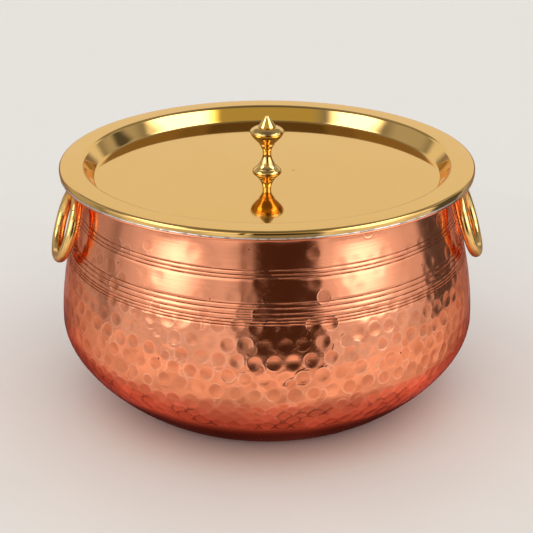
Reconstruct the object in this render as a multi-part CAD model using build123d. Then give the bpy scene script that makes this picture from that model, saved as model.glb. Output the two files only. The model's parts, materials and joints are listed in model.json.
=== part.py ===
from build123d import *
import math
import os

# Copper handi: a double-walled bowl with two swinging ring handles and a knobbed lid.
# Lengths are in millimetres and angles in degrees. The origin is the centre of the flat
# foot, +Z is up, the handles are near the X axis and the front of the bowl faces -Y.

# Copper bowl, measured outside. The neck is drawn in from the belly all around, and the
# flange reaches back out from it to the rim that liner and lid share.
foot_diameter = 182.0
belly_diameter = 266.0
belly_height = 51.0
neck_inset = 17.5
flange_width = 14.5
bowl_height = 148.0
copper_thickness = 1.2
flare_radius = 5.0
copper_rim_inset = 0.2

# Fullness of the bowl's curves: how far each curve keeps its first direction,
# as a share of the rise or reach that it covers. A face that lies inside the outer one
# starts its flank nearer the axis, by foot_inset of its depth.
foot_inset = 0.25
foot_fullness = 0.10
flank_fullness = 0.46
shoulder_fullness = 0.43
neck_fullness = 0.10

# Lines cut around the copper, each placed by its drop below the top of the flange
groove_width = 0.9
groove_depth = 0.22
upper_groove_drops = [22.6, 25.0, 27.0]
lower_groove_drops = [40.8, 43.6, 46.6, 49.3, 51.1, 52.8]

# Steel liner
liner_thickness = 0.6
floor_gap = 3.0
belly_gap = 3.0
neck_gap = 2.6
liner_flare_radius = 8.0
hem_width = 6.0

# Lid, as wide as the rim: a flat band, the well's sloping wall inside it, and the disc
lid_thickness = 0.9
lid_lip_height = 3.3
lid_seat_gap = 0.1
band_width = 14.7
well_slope_run = 6.8
disc_depth = 9.8

# Bends of the lid's sheet, each measured on the inside of the bend
lid_edge_bend = 1.1
brow_bend = 2.2
disc_corner_bend = 1.8

# Knob, from its seat on the lid's disc to its tip: each part's diameter and its own height
knob_seat_inset = 0.5
knob_foot_diameter = 18.4
knob_foot_height = 0.5
bell_shoulder_diameter = 12.6
bell_rise = 3.1
waist_diameter = 5.5
stem_rise = 8.8
throat_rise = 5.0
bead_diameter = 9.7
bead_thickness = 0.7
saucer_diameter = 21.7
cup_rise = 8.0
dome_rise = 3.1
cone_diameter = 11.2
cone_rise = 6.25
tip_diameter = 2.2
tip_rise = 0.55
knob_groove_width = 0.5
knob_groove_depth = 0.12

# Fullness of the knob's curves, as shares of each curve's rise or reach, and how far along its
# curve each turned line lies
bell_fullness = 0.25
bell_slope = 0.40
bell_line_place = 0.69
stem_slope = 0.20
stem_fullness = 0.45
stem_line_place = 0.25
throat_slope = 0.60
throat_fullness = 0.40
cup_spread = 0.35
cup_lift = 0.30
cup_taper = 0.06
cup_fullness = 0.34
dome_fullness = 0.40
dome_flatness = 0.10
dome_line_place = 0.25
tip_fullness = 0.60

# Screw and washer that hold the knob
screw_diameter = 5.0
screw_head_diameter = 9.6
screw_head_height = 2.8
screw_head_edge = 0.9
screw_slot_width = 1.2
screw_slot_depth = 1.3
screw_grip = 7.0
thread_gap = 0.05
tapped_depth = 8.2
screw_hole_play = 0.25
knob_washer_diameter = 13.0
knob_washer_thickness = 1.0

# Ring handles and the lugs that carry them
ring_wire_diameter = 7.0
ring_mean_diameter = 42.4
ring_belly_gap = 4.36
handle_turn_forward = 11.8
ring_play = 0.4
lug_width = 5.0
lug_flange_gap = 1.95
eye_wall = 1.8
eye_floor = 0.95
lug_foot_diameter = 13.0
lug_foot_thickness = 0.9
stem_diameter = 5.0
stem_gap = 0.05
stem_head_diameter = 7.4
stem_head_height = 0.6
lug_washer_diameter = 10.0
lug_washer_thickness = 0.8

# Places that follow from the sizes above
neck_diameter = belly_diameter - 2 * neck_inset
rim_diameter = neck_diameter + 2 * flange_width
band_inner_diameter = rim_diameter - 2 * band_width
disc_diameter = band_inner_diameter - 2 * well_slope_run
flange_underside = bowl_height - copper_thickness
neck_height = flange_underside - flare_radius
liner_depth = copper_thickness + belly_gap
liner_floor = copper_thickness + floor_gap
liner_neck_depth = copper_thickness + neck_gap
hem_top = bowl_height + 2 * liner_thickness
lid_top = hem_top + lid_seat_gap + lid_lip_height
disc_top = lid_top - disc_depth
disc_underside = disc_top - lid_thickness
wire_bend_in_lug = lug_width**2 / (4 * ring_mean_diameter)
eye_radius = ring_wire_diameter / 2 + wire_bend_in_lug + ring_play
pivot_reach = eye_floor + eye_radius
pivot_radius = neck_diameter / 2 + pivot_reach
pivot_height = flange_underside - lug_flange_gap - eye_wall - eye_radius
azimuths = {"right": -handle_turn_forward, "left": 180 + handle_turn_forward}


def place(radius, height):
    """A point of a turned outline: its distance from the axis and its height."""
    return (radius, 0, height)


def lines_through(*points):
    """Straight edges from each point to the next."""
    return [Line(start, end) for start, end in zip(points, points[1:])]


def corner_arc(start, centre, end):
    """The short arc from start to end about a centre."""
    radius = math.dist(start, centre)
    bisector = [(a + b) / 2 - c for a, b, c in zip(start, end, centre)]
    scale = radius / math.hypot(*bisector)
    middle = tuple(c + scale * step for c, step in zip(centre, bisector))
    return ThreePointArc(start, middle, end)


def turned(edges):
    """The solid that a closed outline of edges sweeps around the Z axis."""
    return revolve(Face(Wire(edges)), axis=Axis.Z, revolution_arc=360)


def flank_points(floor, depth):
    """Control points of the curve from the floor's edge up to the belly, inside the outer face."""
    foot = foot_diameter / 2 - foot_inset * depth
    belly = belly_diameter / 2 - depth
    return [
        place(foot, floor),
        place(foot + foot_fullness * (belly - foot), floor),
        place(belly, belly_height - flank_fullness * (belly_height - floor)),
        place(belly, belly_height),
    ]


def shoulder_points(depth, neck_depth, top):
    """Control points of the curve from the belly up to the neck, inside the outer face."""
    belly = belly_diameter / 2 - depth
    neck = neck_diameter / 2 - neck_depth
    rise = top - belly_height
    return [
        place(belly, belly_height),
        place(belly, belly_height + shoulder_fullness * rise),
        place(neck, top - neck_fullness * rise),
        place(neck, top),
    ]


def bowl_face(floor, depth, neck_depth, flare, flange_height):
    """One face of a bowl's sheet, from the axis over the floor, belly and neck to the flange."""
    neck = neck_diameter / 2 - neck_depth
    flank = flank_points(floor, depth)
    shoulder = shoulder_points(depth, neck_depth, flange_height - flare)
    centre = place(neck + flare, flange_height - flare)
    return [
        Line(place(0, floor), flank[0]),
        Bezier(*flank),
        Bezier(*shoulder),
        corner_arc(shoulder[3], centre, place(neck + flare, flange_height)),
    ]


def outer_radius_at(height):
    """The copper's outer radius at a height between the belly and the neck."""
    points = shoulder_points(0, 0, neck_height)
    low, high = 0.0, 1.0
    for _ in range(40):
        share = (low + high) / 2
        rest = 1 - share
        weights = [rest**3, 3 * rest**2 * share, 3 * rest * share**2, share**3]
        radius, reached = [sum(w * p[i] for w, p in zip(weights, points)) for i in (0, 2)]
        if reached < height:
            low = share
        else:
            high = share
    return radius


def copper_outer_face():
    return bowl_face(0, 0, 0, flare_radius, flange_underside)


def copper_inner_face():
    inner_flare = flare_radius + copper_thickness
    return bowl_face(copper_thickness, copper_thickness, copper_thickness, inner_flare, bowl_height)


def copper_blank():
    """The spun copper sheet before its lines are cut and its stem holes are drilled."""
    flare_end = neck_diameter / 2 + flare_radius
    rounding = copper_thickness / 2
    edge = rim_diameter / 2 - copper_rim_inset - rounding
    rim = [
        Line(place(flare_end, flange_underside), place(edge, flange_underside)),
        ThreePointArc(
            place(edge, flange_underside),
            place(edge + rounding, flange_underside + rounding),
            place(edge, bowl_height),
        ),
        Line(place(edge, bowl_height), place(flare_end, bowl_height)),
    ]
    axis = [Line(place(0, 0), place(0, copper_thickness))]
    return turned(copper_outer_face() + rim + copper_inner_face() + axis)


def inside_of_bowl(face, flange_height):
    """The full volume above one face of the bowl, up to its flange's height."""
    flare_end = face[-1] @ 1
    closing = lines_through(tuple(flare_end), place(0, flange_height), tuple(face[0] @ 0))
    return turned(face + closing)


def at_handle(shape, side):
    """A shape built on the +X side, turned about the bowl's axis to its handle."""
    return shape.rotate(Axis.Z, azimuths[side])


def rod(diameter, start, end, height):
    """A round rod along X from one radius to another."""
    return Pos((start + end) / 2, 0, height) * Rot(0, 90, 0) * Cylinder(diameter / 2, end - start)


def line_cutter(surface_radius, height, width, depth):
    """A ring that cuts a round-bottomed line of some width and depth into a turned surface."""
    section_radius = width**2 / (8 * depth) + depth / 2
    return Pos(0, 0, height) * Torus(surface_radius + section_radius - depth, section_radius)


def copper_shell():
    """The outer bowl: a spun sheet with a flat flange, cut lines and two stem holes."""
    shell = copper_blank()
    for drop in upper_groove_drops + lower_groove_drops:
        height = bowl_height - drop
        shell -= line_cutter(outer_radius_at(height), height, groove_width, groove_depth)
    for side in azimuths:
        hole = rod(stem_diameter, pivot_radius / 2, pivot_radius + pivot_reach, pivot_height)
        shell -= at_handle(hole, side)
    return shell


def steel_liner():
    """The inner bowl: a thin sheet whose flange is folded back on itself."""
    under = bowl_face(liner_floor, liner_depth, liner_neck_depth, liner_flare_radius, bowl_height)
    upper = bowl_face(
        liner_floor + liner_thickness,
        liner_depth + liner_thickness,
        liner_neck_depth + liner_thickness,
        liner_flare_radius + liner_thickness,
        bowl_height + liner_thickness,
    )
    flare_end = neck_diameter / 2 - liner_neck_depth + liner_flare_radius
    edge = rim_diameter / 2 - liner_thickness
    fold = rim_diameter / 2 - hem_width
    sheet_top = bowl_height + liner_thickness
    rim = lines_through(place(flare_end, bowl_height), place(edge, bowl_height))
    rim.append(
        ThreePointArc(
            place(edge, bowl_height),
            place(edge + liner_thickness, sheet_top),
            place(edge, hem_top),
        )
    )
    rim += lines_through(
        place(edge, hem_top),
        place(fold, hem_top),
        place(fold, sheet_top),
        place(flare_end, sheet_top),
    )
    axis = lines_through(place(0, liner_floor), place(0, liner_floor + liner_thickness))
    return turned(under + rim + upper + axis)


def shifted_corners(points, distance):
    """An open outline's corners, moved to its right-hand side so that its sides stay parallel."""
    sides = []
    for start, end in zip(points, points[1:]):
        run, rise = end[0] - start[0], end[2] - start[2]
        length = math.hypot(run, rise)
        sides.append((rise / length, -run / length))
    moved = []
    for number, point in enumerate(points):
        before = sides[max(number - 1, 0)]
        after = sides[min(number, len(sides) - 1)]
        share = 1 + before[0] * after[0] + before[1] * after[1]
        moved.append(
            place(
                point[0] + distance * (before[0] + after[0]) / share,
                point[2] + distance * (before[1] + after[1]) / share,
            )
        )
    return moved


def lid_pan():
    """The lid: a disc in a shallow well, a flat band around it and a turned-down lip."""
    hole = screw_diameter / 2 + screw_hole_play
    lip_bottom = hem_top + lid_seat_gap
    top_points = [
        place(hole, disc_top),
        place(disc_diameter / 2, disc_top),
        place(band_inner_diameter / 2, lid_top),
        place(rim_diameter / 2, lid_top),
        place(rim_diameter / 2, lip_bottom),
    ]
    under_points = shifted_corners(top_points, lid_thickness)
    top_radii = [disc_corner_bend, brow_bend + lid_thickness, lid_edge_bend + lid_thickness]
    under_radii = [disc_corner_bend + lid_thickness, brow_bend, lid_edge_bend]
    top = FilletPolyline(*top_points, radius=top_radii)
    under = FilletPolyline(*under_points, radius=under_radii)
    ends = [Line(top @ 0, under @ 0), Line(top @ 1, under @ 1)]
    return turned(top.edges() + under.edges() + ends)


def lid_knob():
    """The knob: a bell foot, a thin waist, a bead, a saucer and a cone, turned in one piece."""
    foot = knob_foot_diameter / 2
    seat = foot - knob_seat_inset
    shoulder = bell_shoulder_diameter / 2
    waist = waist_diameter / 2
    bead = bead_diameter / 2
    saucer = saucer_diameter / 2
    cone = cone_diameter / 2
    tip = tip_diameter / 2
    bead_root = bead - bead_thickness / 2
    cup_reach = saucer - bead_root
    dome_radius = cone + knob_groove_width
    shoulder_height = knob_foot_height + bell_rise
    waist_height = shoulder_height + stem_rise
    bead_low = waist_height + throat_rise
    bead_high = bead_low + bead_thickness
    saucer_height = bead_high + cup_rise
    dome_height = saucer_height + dome_rise
    cone_height = dome_height + knob_groove_width
    tip_height = cone_height + cone_rise
    knob_height = tip_height + tip_rise

    def spot(radius, height):
        return place(radius, disc_top + height)

    bell = Bezier(
        spot(foot, knob_foot_height),
        spot(foot, knob_foot_height + bell_fullness * bell_rise),
        spot(shoulder + bell_slope * bell_rise, shoulder_height - bell_slope * bell_rise),
        spot(shoulder, shoulder_height),
    )
    stem = Bezier(
        spot(shoulder, shoulder_height),
        spot(shoulder - stem_slope * stem_rise, shoulder_height + stem_slope * stem_rise),
        spot(waist, waist_height - stem_fullness * stem_rise),
        spot(waist, waist_height),
    )
    cup = Bezier(
        spot(bead_root, bead_high),
        spot(bead_root + cup_spread * cup_reach, bead_high + cup_lift * cup_rise),
        spot(saucer - cup_taper * cup_reach, saucer_height - cup_fullness * cup_rise),
        spot(saucer, saucer_height),
    )
    throat = Bezier(
        spot(waist, waist_height),
        spot(waist, waist_height + throat_fullness * throat_rise),
        spot(
            bead_root - throat_slope * throat_fullness * throat_rise,
            bead_low - throat_fullness * throat_rise,
        ),
        spot(bead_root, bead_low),
    )
    dome = Bezier(
        spot(saucer, saucer_height),
        spot(saucer, saucer_height + dome_fullness * dome_rise),
        spot((saucer + dome_radius) / 2, dome_height - dome_flatness * dome_rise),
        spot(dome_radius, dome_height),
    )
    cone_foot = spot(cone - knob_groove_width / 2, dome_height)
    tip_start = spot(tip, tip_height)
    edges = [
        Line(spot(0, 0), spot(seat, 0)),
        Bezier(spot(seat, 0), spot(foot, 0), spot(foot, knob_foot_height)),
        bell,
        stem,
        throat,
        ThreePointArc(
            spot(bead_root, bead_low),
            spot(bead, bead_low + bead_thickness / 2),
            spot(bead_root, bead_high),
        ),
        cup,
        dome,
        Line(spot(dome_radius, dome_height), cone_foot),
        Line(cone_foot, spot(cone, cone_height)),
        Line(spot(cone, cone_height), tip_start),
        Bezier(tip_start, spot(tip_fullness * tip, knob_height), spot(0, knob_height)),
        Line(spot(0, knob_height), spot(0, 0)),
    ]
    knob = turned(edges)
    for line in (bell @ bell_line_place, stem @ stem_line_place, dome @ dome_line_place):
        knob -= line_cutter(line.X, line.Z, knob_groove_width, knob_groove_depth)
    knob -= Pos(0, 0, disc_top + tapped_depth / 2) * Cylinder(screw_diameter / 2, tapped_depth)
    return knob


def knob_washer():
    """The flat washer under the lid's disc."""
    hole = screw_diameter / 2 + screw_hole_play
    middle = disc_underside - knob_washer_thickness / 2
    ring = Cylinder(knob_washer_diameter / 2, knob_washer_thickness)
    ring -= Cylinder(hole, knob_washer_thickness)
    return Pos(0, 0, middle) * ring


def knob_screw():
    """The slotted screw that comes up through the lid into the knob."""
    seat = disc_underside - knob_washer_thickness
    shank_top = disc_top + screw_grip
    head_radius = screw_head_diameter / 2
    shank_radius = screw_diameter / 2 - thread_gap
    head_bottom = seat - screw_head_height
    dome_middle = place(0, head_bottom)
    dome_edge = place(head_radius, seat - screw_head_edge)
    outline = [
        Line(place(0, shank_top), place(shank_radius, shank_top)),
        Line(place(shank_radius, shank_top), place(shank_radius, seat)),
        Line(place(shank_radius, seat), place(head_radius, seat)),
        Line(place(head_radius, seat), dome_edge),
        Spline(dome_edge, dome_middle, tangents=[(0, 0, -1), (-1, 0, 0)]),
        Line(dome_middle, place(0, shank_top)),
    ]
    slot = Box(screw_head_diameter, screw_slot_width, 2 * screw_slot_depth)
    return turned(outline) - Pos(0, 0, head_bottom) * slot


def lug(side):
    """A cast lug: an eye across the ring's top, a round foot on the copper and a riveted stem."""
    neck = neck_diameter / 2
    boss = Pos(pivot_radius, 0, pivot_height) * Rot(90, 0, 0)
    eye = boss * Cylinder(eye_radius + eye_wall, lug_width)
    bridge = Pos((neck + pivot_radius) / 2, 0, pivot_height) * Box(
        pivot_reach + copper_thickness, lug_width, 2 * eye_radius + eye_wall
    )
    foot_reach = outer_radius_at(pivot_height) + lug_foot_thickness
    foot = rod(lug_foot_diameter, neck / 2, foot_reach, pivot_height)
    body = eye + bridge + foot
    body -= inside_of_bowl(copper_outer_face(), flange_underside)
    stem_end = neck - copper_thickness - lug_washer_thickness - stem_head_height
    stem = rod(stem_diameter - 2 * stem_gap, stem_end, neck + lug_foot_thickness, pivot_height)
    head = rod(stem_head_diameter, stem_end, stem_end + stem_head_height, pivot_height)
    body = body + stem + head
    body -= boss * Cylinder(eye_radius, lug_foot_diameter + lug_width)
    return at_handle(body, side)


def lug_washer(side):
    """The washer inside the copper wall, dished to follow it, under the stem's head."""
    inner_wall = neck_diameter / 2 - copper_thickness
    face = inner_wall - lug_washer_thickness
    disc = rod(lug_washer_diameter, face, inner_wall + copper_thickness, pivot_height)
    disc -= rod(stem_diameter, face - stem_diameter, inner_wall + stem_diameter, pivot_height)
    disc &= inside_of_bowl(copper_inner_face(), bowl_height)
    return at_handle(disc, side)


def hanging_lean():
    """The ring's lean in degrees, found by halving: its lowest wire stands off the belly."""
    low, high = 0.0, 90.0
    for _ in range(40):
        lean = (low + high) / 2
        wire_height = pivot_height - ring_mean_diameter * math.cos(math.radians(lean))
        wire_radius = pivot_radius + ring_mean_diameter * math.sin(math.radians(lean))
        gap = wire_radius - ring_wire_diameter / 2 - outer_radius_at(wire_height)
        if gap < ring_belly_gap:
            low = lean
        else:
            high = lean
    return lean


def ring(side):
    """A ring handle, leaning out from the neck as it hangs against the belly."""
    lean = hanging_lean()
    mean_radius = ring_mean_diameter / 2
    centre = place(
        pivot_radius + mean_radius * math.sin(math.radians(lean)),
        pivot_height - mean_radius * math.cos(math.radians(lean)),
    )
    hoop = Torus(mean_radius, ring_wire_diameter / 2)
    return at_handle(Pos(*centre) * Rot(0, 90 - lean, 0) * hoop, side)


def write(node, shape):
    export_step(shape, f"parts/{node}.step")
    print(node, "written")


os.makedirs("parts", exist_ok=True)
write("copper_shell", copper_shell())
write("steel_liner", steel_liner())
write("lid_pan", lid_pan())
write("lid_knob", lid_knob())
write("knob_washer", knob_washer())
write("knob_screw", knob_screw())
for side in azimuths:
    write(f"{side}_lug", lug(side))
    write(f"{side}_lug_washer", lug_washer(side))
    write(f"{side}_ring", ring(side))
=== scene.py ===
import bpy
import json
import math
import numpy as np
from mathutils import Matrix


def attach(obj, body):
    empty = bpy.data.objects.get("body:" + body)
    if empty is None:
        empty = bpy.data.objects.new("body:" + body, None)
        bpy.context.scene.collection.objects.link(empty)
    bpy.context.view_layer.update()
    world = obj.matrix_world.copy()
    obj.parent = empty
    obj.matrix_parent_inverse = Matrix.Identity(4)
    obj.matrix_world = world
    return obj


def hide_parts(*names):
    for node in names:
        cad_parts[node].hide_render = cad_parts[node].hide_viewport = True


# Looks of a copper handi: hammered copper bowl, steel liner, brass lid, knob and ring handles.
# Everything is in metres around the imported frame; the sizes below are in millimetres.
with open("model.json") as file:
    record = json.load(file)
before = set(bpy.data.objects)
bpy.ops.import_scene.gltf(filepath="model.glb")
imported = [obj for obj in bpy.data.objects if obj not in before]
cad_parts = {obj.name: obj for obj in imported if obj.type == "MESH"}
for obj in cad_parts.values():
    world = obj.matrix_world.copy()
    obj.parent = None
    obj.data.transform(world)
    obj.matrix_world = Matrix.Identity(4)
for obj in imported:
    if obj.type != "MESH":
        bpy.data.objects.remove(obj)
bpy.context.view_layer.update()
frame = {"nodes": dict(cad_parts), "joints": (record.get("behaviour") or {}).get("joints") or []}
mm = 0.001
dice = np.random.default_rng(11)
print("frame loaded:", len(frame["nodes"]), "nodes")


# Shader building

# A socket that takes part in plain arithmetic: each operator adds one Math node
class Wire:
    def __init__(self, net, socket):
        self.net = net
        self.socket = socket

    def maths(self, operation, *others):
        return self.net.node("ShaderNodeMath", {"operation": operation}, dict(enumerate((self, *others))))

    def __add__(self, other):
        return self.maths("ADD", other)

    def __sub__(self, other):
        return self.maths("SUBTRACT", other)

    def __rsub__(self, other):
        return self.net.node("ShaderNodeMath", {"operation": "SUBTRACT"}, {0: other, 1: self})

    def __mul__(self, other):
        return self.maths("MULTIPLY", other)

    def __truediv__(self, other):
        return self.maths("DIVIDE", other)

    __radd__ = __add__
    __rmul__ = __mul__


# The nodes of one material or of the world
class Net:
    def __init__(self, tree):
        self.tree = tree
        tree.nodes.clear()

    # Any node: its type, its settings, then the values or links of its sockets
    def node(self, kind, settings={}, sockets={}, output=0):
        made = self.tree.nodes.new(kind)
        for name, value in settings.items():
            setattr(made, name, value)
        for name, value in sockets.items():
            if isinstance(value, Wire):
                self.tree.links.new(value.socket, made.inputs[name])
            else:
                made.inputs[name].default_value = value
        return Wire(self, made.outputs[output]) if made.outputs else None

    # The piece's own coordinates, in metres
    def place(self):
        return self.node("ShaderNodeTexCoord", output=3)

    def split(self, vector):
        first = self.node("ShaderNodeSeparateXYZ", {}, {0: vector})
        outputs = first.socket.node.outputs
        return [Wire(self, outputs[axis]) for axis in range(3)]

    def stretched(self, vector, scale):
        return self.node("ShaderNodeVectorMath", {"operation": "MULTIPLY"}, {0: vector, 1: scale})

    def noise(self, vector, scale, detail=2.0, roughness=0.5, warp=0.0):
        sockets = {"Vector": vector, "Scale": scale, "Detail": detail}
        sockets.update({"Roughness": roughness, "Distortion": warp})
        return self.node("ShaderNodeTexNoise", {}, sockets)

    # Distance to the nearest of scattered points, as a share of their spacing
    def spots(self, vector, scale):
        return self.node("ShaderNodeTexVoronoi", {}, {"Vector": vector, "Scale": scale})

    # 0 before the first limit and 1 past the second, with a smooth step between them: it falls with
    # the value where the first limit is the higher one
    def step(self, value, low, high):
        sockets = {"Value": value, "From Min": low, "From Max": high}
        return self.node("ShaderNodeMapRange", {"interpolation_type": "SMOOTHSTEP"}, sockets)

    def mixed(self, share, first, second):
        return self.node("ShaderNodeMix", {"data_type": "RGBA"}, {0: share, 6: first, 7: second}, output=2)

    # Shading that follows a height in metres
    def bump(self, height):
        return self.node("ShaderNodeBump", {}, {"Height": height, "Strength": 1.0, "Distance": 1.0})

    def metal(self, sockets):
        surface = self.node("ShaderNodeBsdfPrincipled", {}, {"Metallic": 1.0, **sockets})
        self.node("ShaderNodeOutputMaterial", {}, {"Surface": surface})


# A material with an empty node tree, and its net
def newMaterial(name):
    material = bpy.data.materials.new(name)
    material.use_nodes = True
    return material, Net(material.node_tree)


# Distance from the Z axis in millimetres: the root of x squared plus y squared
def distanceOut(x, y):
    return (x * x + y * y).maths("SQRT") / mm


# A turn from the front to the right, in degrees, from the two level parts of a place or direction
def turnOf(x, y):
    return x.maths("ARCTAN2", y * -1) * (180 / math.pi)


# Mesh building

# A cubic curve: the four points weigh (1-t)^3, 3t(1-t)^2, 3t^2(1-t) and t^3
def bezier(points, steps):
    t = np.linspace(0, 1, steps)[:, None]
    weights = [(1 - t) ** 3, 3 * t * (1 - t) ** 2, 3 * t ** 2 * (1 - t), t ** 3]
    return sum(w * np.array(p, float) for w, p in zip(weights, points))


# Points on a circle from one angle to another, in degrees
def arc(centre, radius, start, end, steps):
    turn = np.radians(np.linspace(start, end, steps))
    return np.array(centre) + radius * np.stack([np.cos(turn), np.sin(turn)], 1)


# A polyline whose inner corners are rounded: each corner becomes an arc that leaves its sides
# at radius * tan(turn / 2) from the corner
def rounded(corners, radii, steps):
    corners = np.array(corners, float)
    pieces = [corners[:1]]
    for before, corner, after, radius in zip(corners, corners[1:], corners[2:], radii):
        into = (corner - before) / np.linalg.norm(corner - before)
        out = (after - corner) / np.linalg.norm(after - corner)
        turn = math.acos(np.clip(into @ out, -1, 1))
        setback = radius * math.tan(turn / 2)
        side = np.sign(into[0] * out[1] - into[1] * out[0])
        centre = corner - into * setback + side * radius * np.array([-into[1], into[0]])
        spoke = corner - into * setback - centre
        bend = np.linspace(0, side * turn, steps)[:, None]
        turned = np.stack([-spoke[1], spoke[0]])
        pieces.append(centre + np.cos(bend) * spoke + np.sin(bend) * turned)
    pieces.append(corners[-1:])
    return np.concatenate(pieces)


# A sum of sines around the piece, from (waves in a full turn, height, shift)
def wavesAround(angle, parts):
    return sum(height * np.sin(count * angle + shift) for count, height, shift in parts)


# Length along a polyline at each of its points
def lengthAlong(line):
    return np.concatenate([[0], np.cumsum(np.linalg.norm(np.diff(line, axis=0), axis=1))])


# The same line with a point at least every so many millimetres
def refined(line, spacing):
    along = lengthAlong(line)
    even = np.arange(0, along[-1], spacing)
    places = np.unique(np.round(np.concatenate([along, even]), 4))
    return np.stack([np.interp(places, along, line[:, axis]) for axis in (0, 1)], 1)


# A ring of points around Z: radius and height may change from column to column
def ringPoints(radius, height, columns):
    angle = np.arange(columns) * 2 * math.pi / columns
    radius = np.broadcast_to(radius, columns)
    return np.stack([radius * np.cos(angle), radius * np.sin(angle), np.broadcast_to(height, columns)], 1)


# Faces between two rings of points. Equal rings give quads, a single point gives a fan, and a ring
# with k times the points of the other gives k triangles for each of its long sides and one back
def strip(first, n, second, m):
    j = np.arange(max(n, m))
    nextJ = (j + 1) % max(n, m)
    if n == m:
        return [np.stack([first + j, first + nextJ, second + nextJ, second + j], 1)]
    if n == 1:
        return [np.stack([0 * j + first, second + nextJ, second + j], 1)]
    if m == 1:
        return [np.stack([first + j, first + nextJ, 0 * j + second], 1)]
    many = max(n, m) // min(n, m)
    few = min(n, m)
    c = np.arange(few)
    nearest = (j // many + (j % many >= many // 2)) % few
    middle = c * many + many // 2
    if n > m:
        fans = np.stack([first + j, first + nextJ, second + nearest], 1)
        backs = np.stack([first + middle, second + (c + 1) % few, second + c], 1)
    else:
        fans = np.stack([first + nearest, second + nextJ, second + j], 1)
        backs = np.stack([first + c, first + (c + 1) % few, second + middle], 1)
    return [fans, backs]


# A mesh from rings of points, in order from the bottom outwards and up, joined end to end if closed
def ringMesh(name, rings, material, closed=False, sharpAngle=40):
    counts = [len(ring) for ring in rings]
    starts = np.concatenate([[0], np.cumsum(counts)[:-1]])
    order = list(range(len(rings)))
    pairs = list(zip(order, order[1:] + order[:1])) if closed else list(zip(order, order[1:]))
    faces = []
    for a, b in pairs:
        for block in strip(starts[a], counts[a], starts[b], counts[b]):
            faces += block.tolist()
    mesh = bpy.data.meshes.new(name)
    mesh.from_pydata((np.concatenate(rings) * mm).tolist(), [], faces)
    mesh.polygons.foreach_set("use_smooth", np.ones(len(faces), bool))
    mesh.set_sharp_from_angle(angle=math.radians(sharpAngle))
    mesh.materials.append(material)
    mesh.update()
    piece = bpy.data.objects.new(name, mesh)
    bpy.context.scene.collection.objects.link(piece)
    return piece


# A profile of radius and height turned around Z, with a single point where it meets the axis
def turnedPiece(name, profile, columns, material, sharpAngle):
    rings = [ringPoints(r, z, 1 if r < 1e-6 else columns) for r, z in profile]
    return ringMesh(name, rings, material, sharpAngle=sharpAngle)


# Bowl shape

bowl = {
    "footRadius": 91.0,
    "bellyRadius": 133.0,
    "bellyHeight": 51.0,
    "neckRadius": 115.5,
    "height": 148.0,
    "thickness": 1.2,
    "flare": 5.0,
    "rimRadius": 129.8,
    "footInset": 0.25,
    "footFullness": 0.10,
    "flankFullness": 0.46,
    "shoulderFullness": 0.43,
    "neckFullness": 0.10,
    "lipPoints": 9,
}


# One face of the bowl's wall, from the floor's edge to the flange: a flank curve, a shoulder curve
# and a quarter circle, with the inner faces drawn in by their depth
def wallFace(floor, depth, neckDepth, flare, flangeHeight, steps):
    foot = bowl["footRadius"] - bowl["footInset"] * depth
    belly = bowl["bellyRadius"] - depth
    neck = bowl["neckRadius"] - neckDepth
    middle = bowl["bellyHeight"]
    top = flangeHeight - flare
    flank = bezier([
        (foot, floor),
        (foot + bowl["footFullness"] * (belly - foot), floor),
        (belly, middle - bowl["flankFullness"] * (middle - floor)),
        (belly, middle),
    ], steps)
    shoulder = bezier([
        (belly, middle),
        (belly, middle + bowl["shoulderFullness"] * (top - middle)),
        (neck, top - bowl["neckFullness"] * (top - middle)),
        (neck, top),
    ], steps)
    lip = arc((neck + flare, top), flare, 180, 90, bowl["lipPoints"])
    return np.concatenate([flank, shoulder[1:], lip[1:]])


# Copper shell

hammered = {
    "columns": 600,
    "hiddenColumns": 100,
    "rowSpacing": 1.3,
    "footRowSpacing": 2.6,
    "plainFoot": 7.0,
    "footRing": 3.0,
    "turnSpread": 0.055,
    "placeSpread": 0.45,
    "rowWave": 1.5,
    "rowRipple": 0.9,
    "grooves": [125.4, 123.0, 121.0, 107.2, 104.4, 101.4, 98.7, 96.9, 95.2],
    "grooveDepth": 0.18,
    "grooveHalfWidth": 0.5,
    "grooveWaves": [(3, 0.22, 1), (11, 0.15, 4)],
    "outOfRound": 0.10,
    "trim": 0.12,
    "trimWaves": [(23, 0.06, 0), (41, 0.05, 1), (7, 0.08, 0)],
    "edgeReach": 3.0,
    "edgeWidth": 1.3,
}

# Rows of hammer marks: the heights they lie between, the pitch up the wall, the gap along a row,
# the radius of a mark's edge, the radius of the hammer's face, the share of marks that are there, the
# share of them with a raised edge, and how far to the sides they lie, as a share of the radius.
# Later marks wipe out earlier ones: first the shallow marks between the others, then the neck's, those
# behind the handles, the main rows and the lowest rows, which overlap like scales
hammering = [
    {
        "heights": (43, 92), "pitch": 9.8, "gap": 11.4,
        "edge": (3.0, 4.4), "face": (45, 90), "share": 0.9, "edged": 0.5, "sideways": 0,
    },
    {
        "heights": (92, 141), "pitch": 8.2, "gap": 10.2,
        "edge": (3.2, 4.4), "face": (60, 120), "share": 0.5, "edged": 0.35, "sideways": 0,
    },
    {
        "heights": (91, 113), "pitch": 9.0, "gap": 11.0,
        "edge": (3.6, 4.4), "face": (30, 45), "share": 0.95, "edged": 0.9, "sideways": 0.72,
    },
    {
        "heights": (43, 95), "pitch": 9.8, "gap": 10.9,
        "edge": (3.7, 4.5), "face": (24, 36), "share": 0.97, "edged": 0.8, "sideways": 0,
    },
    {
        "heights": (27, 44), "pitch": 5.2, "gap": 9.6,
        "edge": (4.0, 5.0), "face": (22, 30), "share": 1.0, "edged": 1, "sideways": 0,
    },
]


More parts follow.
